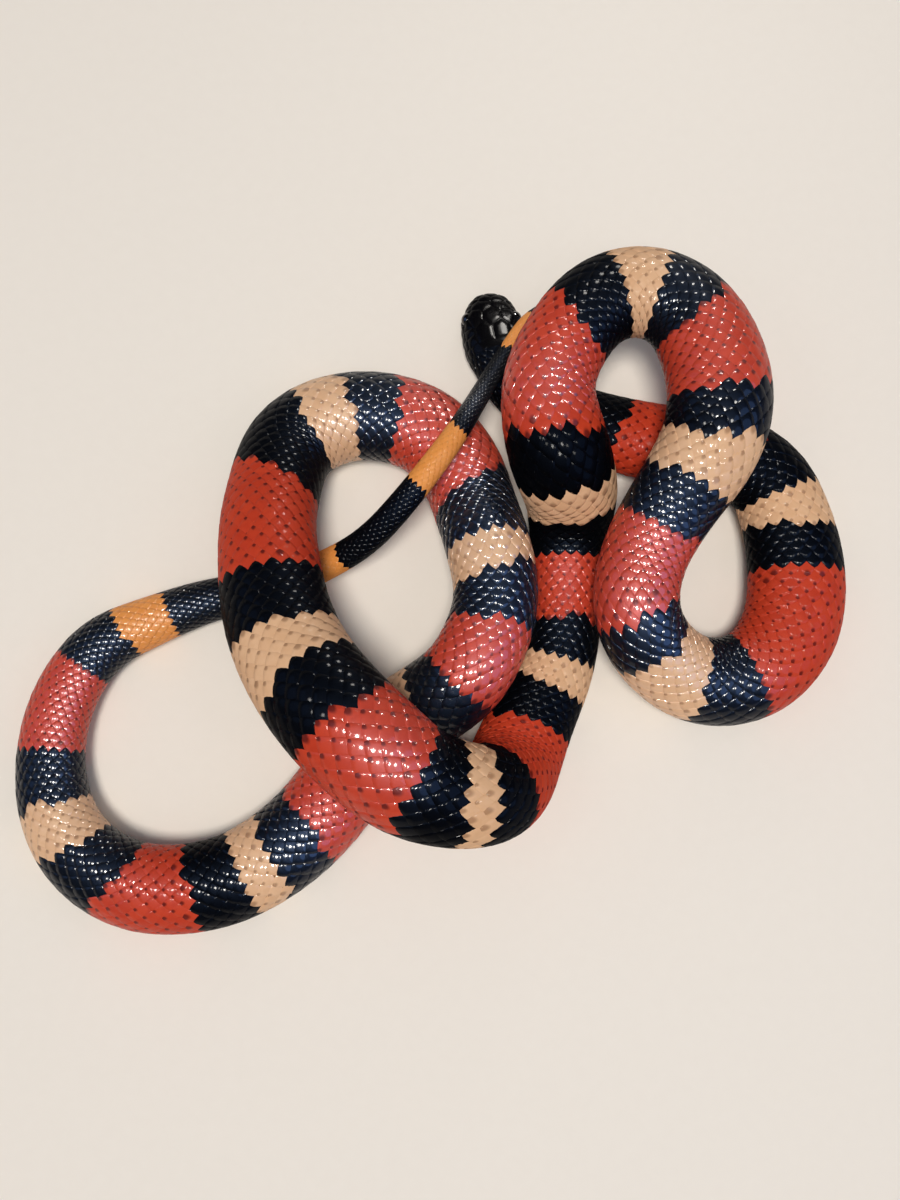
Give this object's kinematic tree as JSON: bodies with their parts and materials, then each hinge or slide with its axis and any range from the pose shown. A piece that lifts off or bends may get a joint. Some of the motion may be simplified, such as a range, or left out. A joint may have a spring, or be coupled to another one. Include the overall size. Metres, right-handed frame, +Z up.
{
  "type": "milk snake",
  "caption": "Life-size milk snake lying still in overlapping loops, with red, black and cream rings, for display on a flat surface",
  "frame": {"origin": "on the floor under the middle of the coils' box", "axes": "+Z up; +Y the way the head points; +X to the right, along the longer side of the coils"},
  "size_m": [0.1813, 0.1485, 0.0455],
  "materials": {
    "scales_red": "glossy",
    "scales_black": "glossy",
    "scales_cream": "glossy",
    "eye": "glossy"
  },
  "bodies": {
    "root": {"head": "scales_black", "eye_left": "eye", "eye_right": "eye", "neck": "scales_black", "body_01": "scales_red", "body_02": "scales_cream", "body_03": "scales_red", "body_04": "scales_cream", "body_05": "scales_red", "body_06": "scales_cream", "body_07": "scales_red", "body_08": "scales_cream", "body_09": "scales_red", "body_10": "scales_cream", "body_11": "scales_red", "body_12": "scales_cream", "body_13": "scales_red", "body_14": "scales_cream", "body_15": "scales_red", "body_16": "scales_cream", "tail_base": "scales_black", "tail_middle": "scales_cream", "tail_tip": "scales_black"}
  },
  "joints": []
}
